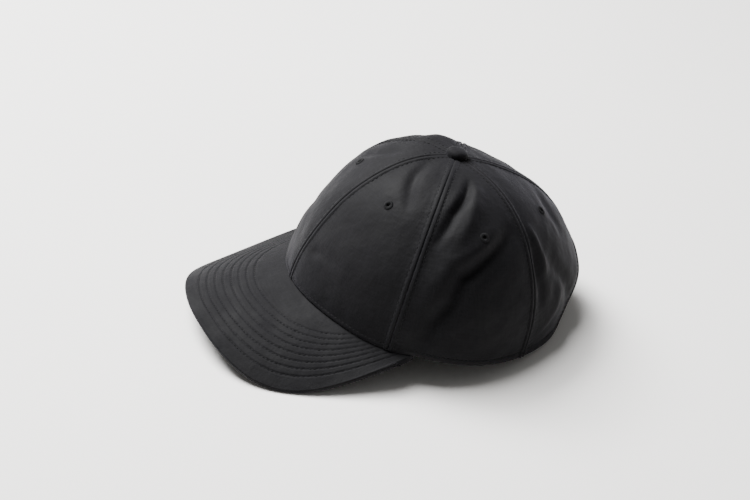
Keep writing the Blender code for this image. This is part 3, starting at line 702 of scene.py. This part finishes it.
def panel_points(seam):
    """Rows of points over one sixth of the crown, close together at the hem and beside the seams."""
    reach = top_reach(seam + HALF_PANEL, APEX_HOLE)
    hem_rows = np.linspace(0, HEM_ROWS_END, HEM_ROWS + 1)[:-1]
    t = np.concatenate([hem_rows, np.linspace(HEM_ROWS_END, reach, PANEL_ROWS)])
    radius = plan_radius(seam + HALF_PANEL, t)
    half = HALF_PANEL * radius
    near = edge_columns(half)
    offsets = np.concatenate([near, (2 * half[:, None] - near)[:, -2::-1]], 1)
    th = seam + offsets / radius[:, None]
    return to_world(crown_skin(th, np.broadcast_to(t[:, None], th.shape)))


def eyelet_matrix(index):
    """Place and turn of a panel's eyelet, in the table's frame, on the folded cloth."""
    th, t = SEAMS[index] + HALF_PANEL, EYELET_HEIGHT
    step = 0.012
    ths = np.array([th, th + step, th - step, th, th])
    ts = np.array([t, t, t, t + step, t - step])
    p = to_world(crown_skin(ths, ts, 0.0, False))
    normal = Vector(unit(np.cross(p[1] - p[2], p[3] - p[4])))
    return Matrix.Translation(Vector(p[0])) @ normal.to_track_quat("Z", "Y").to_matrix().to_4x4()


def hole_cutter(index):
    bpy.ops.mesh.primitive_cylinder_add(vertices=32, radius=EYELET_CUT, depth=8 * MM)
    cutter = bpy.context.object
    cutter.matrix_world = eyelet_matrix(index)
    return cutter


def arch_outline(turn, inset):
    """The x and z of points round the rear arch, moved inward by inset."""
    across = np.cos(turn)
    x = np.sign(across) * (ARCH_HALF_WIDTH - inset) * np.abs(across) ** (2 / ARCH_POWER)
    z = REAR_HEM_Z + (ARCH_HEIGHT - inset) * np.maximum(np.sin(turn), 0) ** (2 / ARCH_POWER)
    return x, z


def arch_cutter():
    """The arch's outline as a prism through the back of the crown."""
    x, z = arch_outline(np.linspace(math.pi, 0, 65), 0.0)
    x = np.concatenate([[-ARCH_HALF_WIDTH], x, [ARCH_HALF_WIDTH]])
    z = np.concatenate([[ARCH_FOOT], z, [ARCH_FOOT]])
    front = to_world(np.stack([x, 0 * x + ARCH_CUT_FROM, z], -1))
    back = to_world(np.stack([x, 0 * x + ARCH_CUT_TO, z], -1))
    count = len(x)
    faces = [[i, (i + 1) % count, count + (i + 1) % count, count + i] for i in range(count)]
    faces += [list(range(count))[::-1], list(range(count, 2 * count))]
    mesh = bpy.data.meshes.new("arch_cutter")
    mesh.from_pydata(np.concatenate([front, back]).tolist(), [], faces)
    cutter = bpy.data.objects.new("arch_cutter", mesh)
    bpy.context.scene.collection.objects.link(cutter)
    return cutter


def table_cutter():
    """A block below the table, for the crown's rear corners."""
    size = 0.5
    bpy.ops.mesh.primitive_cube_add(size=size, location=(0, 0, -size / 2))
    return bpy.context.object


def make_panels(cloth):
    arch, table = arch_cutter(), table_cutter()
    for name, index in PANELS.items():
        points = panel_points(SEAMS[index])
        panel = link("cloth_" + name, grid(points), cloth, [name])
        thicken(panel, CLOTH)
        hole = hole_cutter(index)
        cut_with(panel, hole)
        bpy.data.objects.remove(hole)
        area = sheet_area(points)
        if name.startswith("rear"):
            cut_with(panel, arch)
            cut_with(panel, table)
            area *= REAR_PANEL_SHARE
        panel.data.shade_smooth()
    bpy.data.objects.remove(arch)
    bpy.data.objects.remove(table)


def seam_run(seam, side, start, reach):
    """The path of one stitch row beside a seam."""
    t = np.linspace(start, reach, 160)
    return sewing_run(seam + side * SEAM_STITCH / plan_radius(seam, t), t)


def arch_top_t():
    return rear_t(math.pi, REAR_HEM_Z + ARCH_HEIGHT)


def rear_t(th, z):
    """The t at which the crown at angle th is at height z."""
    low, high = 0.0, 0.9
    for _ in range(30):
        middle = (low + high) / 2
        low, high = (middle, high) if crown(th, middle)[2] < z else (low, middle)
    return low


def make_seam_stitches(thread):
    for name, seam in zip(SEAM_NAMES, SEAMS):
        start = arch_top_t() + 0.02 if name == "rear" else 0.012
        reach = top_reach(seam, BUTTON_CLEAR)
        runs = [seam_run(seam, side, start, reach) for side in (-1, 1)]
        link(f"seam_stitches_{name}", stitch_mesh(runs), thread)


def make_hem_stitches(thread):
    """The line of sewing that holds the sweatband, just above the hem."""
    end = math.pi - math.asin((ARCH_HALF_WIDTH + 3 * MM) / HEM_RADIUS)
    th = np.linspace(-end, end, 700)
    run = sewing_run(th, np.full_like(th, HEM_STITCH / CROWN_ARC))
    link("hem_stitches", stitch_mesh([run]), thread)


def make_tapes(cloth):
    """Tapes over the seams inside, a little fuller along their middles."""
    for name, seam in zip(SEAM_NAMES, SEAMS):
        start = arch_top_t() + 0.015 if name == "rear" else TAPE_START
        t = np.linspace(start, top_reach(seam, TAPE_TOP_RADIUS), 70)[:, None]
        offset = np.linspace(-1, 1, 15)[None] * TAPE_HALF_WIDTH
        th, t = np.broadcast_arrays(seam + offset / plan_radius(seam, t), t)
        bulge = TAPE_BULGE * (1 - (offset / TAPE_HALF_WIDTH) ** 2)
        base = crown_skin(th, t, TAPE_DEPTH, False)
        points = to_world(base - crown_normal(th, t) * bulge[..., None])
        tape = link(f"inner_tape_{name}", grid(points), cloth, [f"seam_tape_{name}"])
        thicken(tape, TAPE_CLOTH)


def band_depth(th):
    """The band lies deeper where the strap runs behind it."""
    share = np.clip((np.degrees(np.abs(th)) - POCKET_START) / POCKET_RAMP, 0, 1)
    return BAND_DEPTH + (BAND_POCKET_DEPTH - BAND_DEPTH) * share * share * (3 - 2 * share)


def make_sweatband(cloth, thread):
    """A folded twill band inside the hem, with a row of sewing near its top and bottom."""
    end = math.pi - math.asin((ARCH_HALF_WIDTH + 2 * MM) / HEM_RADIUS)
    t = np.linspace(BAND_FOOT, BAND_HEIGHT, 30)[:, None]
    th, t = np.broadcast_arrays(np.linspace(-end, end, 320)[None], t)
    share = (t - BAND_FOOT) / (BAND_HEIGHT - BAND_FOOT)
    ripple = 0.21 * np.sin(th * 23 + 1) * share + 0.12 * np.sin(th * 51)
    roll = 0.15 * (hump(share, 0.05) + hump(share - 1, 0.05))
    dips = 0.35 * (hump(share - 0.12, 0.03) + hump(share - 0.9, 0.03))
    depth = band_depth(th) + (0.2 + ripple - roll - dips) * MM
    points = to_world(crown_skin(th, t, 0.0, False) - crown_normal(th, t) * depth[..., None])
    band = link("inner_sweatband", grid(points), cloth, ["sweatband"])
    thicken(band, BAND_CLOTH)
    inward = -world_turn(crown_normal(th, t))
    stitch_out = BAND_CLOTH + 0.05 * MM
    runs = [(points[row] + inward[row] * stitch_out, inward[row]) for row in BAND_SEWN_ROWS]
    link("sweatband_stitches", stitch_mesh(runs), thread)


def make_eyelets(thread):
    """Rings of satin stitches: short threads lying side by side round a small hole."""
    around = np.linspace(0, 2 * math.pi, EYELET_THREADS * 6, endpoint=False)[None]
    section = np.linspace(0, 2 * math.pi, 14, endpoint=False)[:, None]
    ridge = (0.10 * np.cos(around * EYELET_THREADS) + 0.03 * np.cos(around * 7)) * MM
    radius = EYELET_RING + (EYELET_HALF_WIDTH + ridge) * np.cos(section)
    swell = np.sin(section) * np.where(np.sin(section) > 0, 1.0, EYELET_BACK)
    height = (EYELET_RISE + 0.8 * ridge) * swell + EYELET_STANDOFF
    ring = np.stack([radius * np.cos(around), radius * np.sin(around), height], -1)
    for name, index in PANELS.items():
        matrix = np.array(eyelet_matrix(index))
        points = ring @ matrix[:3, :3].T + matrix[:3, 3]
        closed = np.concatenate([points, points[:1]], 0)
        mesh = grid(closed, ring_coordinates(closed), loop=True)
        weld(mesh)
        short = name.replace("_panel", "")
        link("ring_" + short, mesh, thread, ["eyelet_" + short])


def ring_coordinates(points):
    rows, columns = points.shape[:2]
    u, v = np.meshgrid(np.linspace(0, 0.02, columns), np.linspace(0, 0.006, rows))
    return np.stack([u, v], -1)


def weld(mesh):
    """Joins the seam where the ring's surface meets itself."""
    builder = bmesh.new()
    builder.from_mesh(mesh)
    bmesh.ops.remove_doubles(builder, verts=builder.verts, dist=WELD_DISTANCE)
    bmesh.ops.recalc_face_normals(builder, faces=builder.faces)
    builder.to_mesh(mesh)
    builder.free()


def rear_place(x, z):
    """The th and t of the rear crown point with this x and z."""
    low, high = math.radians(100), math.pi
    for _ in range(30):
        middle = (low + high) / 2
        wide = crown(middle, rear_t(middle, z))[0] > abs(x)
        low, high = (middle, high) if wide else (low, middle)
    return math.copysign(low, x), rear_t(low, z)


def arch_places(inset):
    """The th and t of points along the arch, moved inward by inset."""
    x, z = arch_outline(np.linspace(math.pi * 0.985, math.pi * 0.015, 120), inset)
    places = [rear_place(a, max(b, REAR_HEM_Z + BINDING_FOOT)) for a, b in zip(x, z)]
    return np.array(places).T


def make_arch_binding(cloth, thread):
    """A strip folded over the arch's edge, with a row of sewing just outside it."""
    th, t = arch_places(BINDING_INSET)
    path = to_world(crown_skin(th, t, CLOTH / 2, False))
    mesh = tube_mesh(path, world_turn(crown_normal(th, t)), BINDING_RADIUS, BINDING_SQUASH)
    link("arch_edge", mesh, cloth, ["arch_binding"])
    run = sewing_run(*arch_places(-BINDING_SEWING))
    link("arch_stitches", stitch_mesh([run]), thread)


# Brim


def brim_outline(s):
    turn = s * math.pi / 2
    corner_y = -hem_radius(BRIM_CORNER) * math.cos(BRIM_CORNER)
    reach = corner_y + hem_radius(0.0) + BRIM_REACH
    x = np.sign(turn) * BRIM_HALF_WIDTH * np.abs(np.sin(turn)) ** BRIM_SQUARE_SIDE
    return np.stack([x, corner_y - reach * np.maximum(np.cos(turn), 0) ** BRIM_SQUARE_FRONT], -1)


def brim_root(s):
    th = s * BRIM_CORNER
    radius = hem_radius(th) - BRIM_TUCK
    return np.stack([radius * np.sin(th), -radius * np.cos(th)], -1)


def brim_surface(s, v):
    s, v = np.broadcast_arrays(np.asarray(s, float), np.asarray(v, float))
    plan = brim_root(s) * (1 - v)[..., None] + brim_outline(s) * v[..., None]
    z = brim_height(plan[..., 0], plan[..., 1]) - BRIM_HEM_DROP * (1 - v)
    return np.concatenate([plan, z[..., None]], -1)


def brim_normal(s, v):
    along = brim_surface(s + SURFACE_STEP, v) - brim_surface(s - SURFACE_STEP, v)
    out = brim_surface(s, v + SURFACE_STEP) - brim_surface(s, v - SURFACE_STEP)
    return unit(np.cross(out, along))


def edge_reach(s):
    """Width of the brim at s, square to its outer edge."""
    run = brim_outline(s) - brim_root(s)
    side = brim_outline(s + SURFACE_STEP) - brim_outline(s - SURFACE_STEP)
    normal = unit(np.stack([side[..., 1], -side[..., 0]], -1))
    return np.abs((run * normal).sum(-1))


def quilt_relief(inset, along):
    """The cloth is pulled down along each stitch row."""
    run = along / MM
    lift = np.zeros(np.shape(inset))
    for row in range(STITCH_ROWS):
        off = inset - STITCH_FIRST - row * STITCH_PITCH
        pucker = 1 + 0.3 * np.sin(run * 2.1 + row) + 0.15 * np.sin(run * 0.9 + 2 * row)
        lift -= QUILT_DIP * pucker * hump(off, QUILT_DIP_WIDTH)
    return lift


def brim_along(s):
    """Distance along the brim's outer edge."""
    line = np.linspace(-1, 1, 801)
    edge = brim_outline(line)
    lengths = np.concatenate([[0], np.cumsum(np.linalg.norm(np.diff(edge, axis=0), axis=1))])
    return np.interp(s, line, lengths)


def brim_face(s, v, level, side):
    """One face of the brim: side is 1 above the board and -1 below it."""
    inset = (1 - v) * edge_reach(s)
    lift = quilt_relief(inset, brim_along(s)) * np.clip(v / 0.05, 0, 1)
    base = brim_surface(s, v)
    return base + brim_normal(s, v) * (side * (level + lift))[..., None]


def brim_lip(line):
    """The upper cloth rolled over the brim's outer edge."""
    end = np.ones_like(line)
    edge, up = brim_surface(line, end), brim_normal(line, end)
    side = brim_surface(line + SURFACE_STEP, end) - brim_surface(line - SURFACE_STEP, end)
    outward = unit(np.cross(side, up))
    run = brim_outline(line) - brim_root(line)
    outward *= np.sign((outward[:, :2] * run).sum(-1))[:, None]
    rows = []
    for angle in LIP_ROLL:
        out, rise = LIP_OUT * math.sin(math.radians(angle)), BRIM_FACE * math.cos(math.radians(angle))
        rows.append(edge + outward * out + up * rise)
    return np.array(rows)


def brim_allowance(line):
    """The upper cloth's seam allowance, turned up inside the crown's hem."""
    root = brim_face(line, np.zeros_like(line), BRIM_FACE, 1)
    inward = -unit(root * (1, 1, 0))
    lean = inward * ALLOWANCE_IN + np.array([0, 0, ALLOWANCE])
    return np.array([root + lean * share for share in ALLOWANCE_STEPS])


def brim_corner(sign, across):
    """The upper cloth turned down over the short edge at a corner, as extra columns."""
    s = np.full_like(across, sign * CORNER_END)
    allowance = brim_allowance(s[:1])[:, 0]
    surface, up = brim_surface(s, across), brim_normal(s, across)
    lip = brim_lip(s[:1])[:, 0]
    columns = []
    for share in CORNER_DROP:
        level = share * BRIM_FACE
        low_lip = np.minimum(lip, surface[-1] + up[-1] * level)
        columns.append(np.concatenate([allowance, surface + up * level, low_lip], 0))
    return np.stack(columns, 1)


def make_brim(cloth, thread):
    line = np.sin(np.linspace(-math.pi / 2, math.pi / 2, BRIM_COLUMNS)) * BRIM_END
    even = np.linspace(-BRIM_END, BRIM_END, BRIM_COLUMNS)
    line = (BRIM_CROWDING * line + (1 - BRIM_CROWDING) * even)[::-1]
    across = np.linspace(0, 1, BRIM_ROWS)
    s, v = np.meshgrid(line, across)
    top = np.concatenate([brim_allowance(line), brim_face(s, v, BRIM_FACE, 1), brim_lip(line)], 0)
    top = np.concatenate([brim_corner(1, across)[:, ::-1], top, brim_corner(-1, across)], 1)
    under = brim_face(s, v * BRIM_UNDER_END, BRIM_FACE, -1)[:, ::-1]
    covers = (("brim_upper_cloth", top, "brim_top_cover"), ("brim_lower_cloth", under, "brim_under_cover"))
    for name, cap_points, node_name in covers:
        points = to_world(cap_points)
        cover = link(name, grid(points), cloth, [node_name])
        thicken(cover, BRIM_CLOTH)
    for row in range(STITCH_ROWS):
        make_stitch_row(row, thread)


def row_end(distance):
    """The s at which a stitch row meets the crown."""
    low, high = 0.0, STITCH_LIMIT
    for _ in range(30):
        middle = (low + high) / 2
        inside = 1 - distance / edge_reach(np.array(middle)) > STITCH_ROOT
        low, high = (middle, high) if inside else (low, middle)
    return low


def make_stitch_row(row, thread):
    """One row of sewing, seen on both faces of the brim."""
    distance = STITCH_FIRST + row * STITCH_PITCH
    end = row_end(distance)
    s = np.linspace(-end, end, 600)
    v = 1 - distance / edge_reach(s)
    up = world_turn(brim_normal(s, v))
    runs = [(to_world(brim_face(s, v, BRIM_FACE, side)), side * up) for side in (1, -1)]
    mesh = stitch_mesh(runs, BRIM_STITCH_LENGTH, BRIM_STITCH_GAP, BRIM_THREAD)
    number = row + 1
    link(f"brim_sewing_{number}", mesh, thread, [f"brim_stitch_row_{number}"])


# Button


def close_top(mesh):
    """A face over the small opening at the middle of the button."""
    builder = bmesh.new()
    builder.from_mesh(mesh)
    builder.verts.ensure_lookup_table()
    face = builder.faces.new([builder.verts[i] for i in range(BUTTON_COLUMNS)])
    face.smooth = True
    bmesh.ops.recalc_face_normals(builder, faces=builder.faces)
    builder.to_mesh(mesh)
    builder.free()


def make_button(cloth):
    """A cloth-covered dome, gathered under its rim."""
    around = np.linspace(0, 2 * math.pi, BUTTON_COLUMNS, endpoint=False)[None]
    down = np.linspace(0.02, 1, 26)[:, None]
    angle = down * BUTTON_TURN
    gather = 0.4 * np.clip((down - 0.6) / 0.4, 0, 1) ** 1.5
    pleat = gather * (0.10 * np.cos(around * 14) + 0.06 * np.cos(around * 23 + 1))
    radius = BUTTON_RADIUS * np.sin(angle) ** 0.75 * (1 + pleat)
    fall = np.sign(np.cos(angle)) * np.abs(np.cos(angle)) ** 0.7
    wobble = 0.06 * MM * np.cos(around * 3 + 1) * down
    height = BUTTON_RIM + (BUTTON_HEIGHT - BUTTON_RIM) * fall + wobble
    ring = np.stack([radius * np.cos(around), radius * np.sin(around), height], -1)
    mesh = grid(to_world(ring + np.array([0, APEX_SHIFT, CROWN_HEIGHT])), ring[..., :2], loop=True)
    close_top(mesh)
    cover = link("button_cloth", mesh, cloth, ["button_cover"])
    thicken(cover, BUTTON_CLOTH)


# Strap


def strap_points(angle, share, out):
    """Point of the strap's outer face: angle from straight behind to the wearer's left, share -1 to 1."""
    radius = STRAP_RADIUS + STRAP_FLARE * STRAP_HALF_HEIGHT * share + STRAP_CLOTH / 2 + out
    x, y = radius * np.sin(angle), radius * np.cos(angle) + STRAP_CENTRE_Y
    return np.stack([x, y, STRAP_MID_Z + STRAP_HALF_HEIGHT * share + 0 * x], -1)


def make_strap(cloth, thread):
    """A folded cloth strap with a row of sewing along each edge."""
    angle = np.linspace(STRAP_HALF_ANGLE, -STRAP_HALF_ANGLE, 200)[None]
    angle, share = np.broadcast_arrays(angle, np.linspace(-1, 1, 33)[:, None])
    dips = sum(hump(share - at, 0.05) for at in STRAP_SEWING)
    edge = np.clip((np.abs(share) - STRAP_EDGE_START) / (1 - STRAP_EDGE_START), 0, 1) ** 2
    outer = strap_points(angle, share, -STRAP_DIP * dips - STRAP_EDGE * edge)
    strap = link("cloth_back_strap", grid(outer), cloth, ["back_strap"], "strap")
    thicken(strap, STRAP_CLOTH - STRAP_TURNED)
    runs = []
    for at in STRAP_SEWING:
        line = np.linspace(STRAP_HALF_ANGLE * 0.98, -STRAP_HALF_ANGLE * 0.98, 400)
        path = strap_points(line, at + 0 * line, -STRAP_SEWING_DEPTH)
        runs.append((path, np.stack([np.sin(line), np.cos(line), 0 * line], -1)))
    link("strap_stitches", stitch_mesh(runs), thread, body="strap")


def dress_cad_node(name, material, bevel=0.0):
    """A CAD node that is shown as it is, with a better material and softened edges."""
    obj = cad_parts[name]
    obj.data.materials.clear()
    obj.data.materials.append(material)
    if bevel:
        soft = obj.modifiers.new("edges", "BEVEL")
        soft.width = bevel
        soft.segments = 3
        soft.limit_method = "ANGLE"
        soft.angle_limit = math.radians(40)
        soft.harden_normals = True
    obj.data.shade_smooth()


# Setting


def make_floor():
    bpy.ops.mesh.primitive_plane_add(size=FLOOR_SIZE, location=(0, 0, -FLOOR_DROP))
    floor = bpy.context.object
    floor.name = "table"
    material, tree, shader = new_material("table_paper", FLOOR_COLOUR, 0.7)
    shader.inputs["Specular IOR Level"].default_value = 0.2
    space = node(tree, "TexCoord").outputs["Object"]
    cloud = noise(tree, space, 3.0, 2.0)
    shade_colour(tree, shader, FLOOR_COLOUR, spread_range(tree, cloud, 0.3, 0.7, 0.985, 1.015))
    floor.data.materials.append(material)


def add_light(name, place, size, power):
    """A square soft light aimed at the cap."""
    light = bpy.data.lights.new(name, "AREA")
    light.shape = "RECTANGLE"
    light.size = size
    light.size_y = size
    light.energy = power
    obj = bpy.data.objects.new(name, light)
    obj.location = place
    obj.rotation_euler = (Vector(LIGHT_TARGET) - Vector(place)).to_track_quat("-Z", "Y").to_euler()
    bpy.context.scene.collection.objects.link(obj)


def make_lights():
    world = bpy.data.worlds.new("studio")
    bpy.context.scene.world = world
    world.use_nodes = True
    sky = world.node_tree.nodes["Background"]
    sky.inputs["Color"].default_value = (1.0, 0.99, 0.975, 1)
    sky.inputs["Strength"].default_value = SKY_STRENGTH
    add_light("key", (-1.05, -0.6, 1.45), 0.9, 104)
    add_light("overhead", (-0.5, -0.6, 2.05), 1.2, 80)


def make_camera():
    """At the wearer's left and a little in front, above the cap, with a slight roll."""
    back = Vector((
        math.sin(CAMERA_AZIMUTH) * math.cos(CAMERA_ELEVATION),
        -math.cos(CAMERA_AZIMUTH) * math.cos(CAMERA_ELEVATION),
        math.sin(CAMERA_ELEVATION),
    ))
    camera = bpy.data.objects.new("camera", bpy.data.cameras.new("camera"))
    camera.data.lens = CAMERA_LENS
    camera.data.sensor_width = 36
    camera.data.shift_x, camera.data.shift_y = CAMERA_SHIFT
    camera.location = Vector(CAMERA_TARGET) + back * CAMERA_DISTANCE
    turn = (-back).to_track_quat("-Z", "Y").to_matrix() @ Matrix.Rotation(CAMERA_ROLL, 3, "Z")
    camera.rotation_euler = turn.to_euler()
    bpy.context.scene.collection.objects.link(camera)
    bpy.context.scene.camera = camera


make_camera()
make_lights()
make_floor()

crown_cloth = woven("crown_cloth", (0.0030, 0.0029, 0.0035), 0.55 * MM)
lining_cloth = woven("tape_cloth", (0.007, 0.007, 0.0075), 0.8 * MM)
band_cloth = woven("band_cloth", (0.008, 0.008, 0.0085), 0.7 * MM, twill=True)
strap_cloth = woven("strap_webbing", (0.0085, 0.0088, 0.0095), 0.6 * MM, twill=True)
sewing_thread = thread_material("sewing_thread", (0.0060, 0.0060, 0.0068))
dark_metal = metal_material("dark_metal", (0.035, 0.035, 0.037), 0.85, 0.34)
board_plastic = plastic_material("board_plastic", (0.03, 0.03, 0.031))

make_panels(crown_cloth)
make_seam_stitches(sewing_thread)
make_hem_stitches(sewing_thread)
make_tapes(lining_cloth)
make_sweatband(band_cloth, sewing_thread)
make_eyelets(sewing_thread)
make_arch_binding(lining_cloth, sewing_thread)
make_brim(crown_cloth, sewing_thread)
make_button(crown_cloth)
make_strap(strap_cloth, sewing_thread)
for cad_name in ("buckle_frame", "buckle_lever"):
    dress_cad_node(cad_name, dark_metal, BUCKLE_EDGE)
for cad_name in ("buckle_pin", "button_shell", "button_shank", "button_washer"):
    dress_cad_node(cad_name, dark_metal)
dress_cad_node("brim_board", board_plastic)
dress_cad_node("strap_tab", strap_cloth)
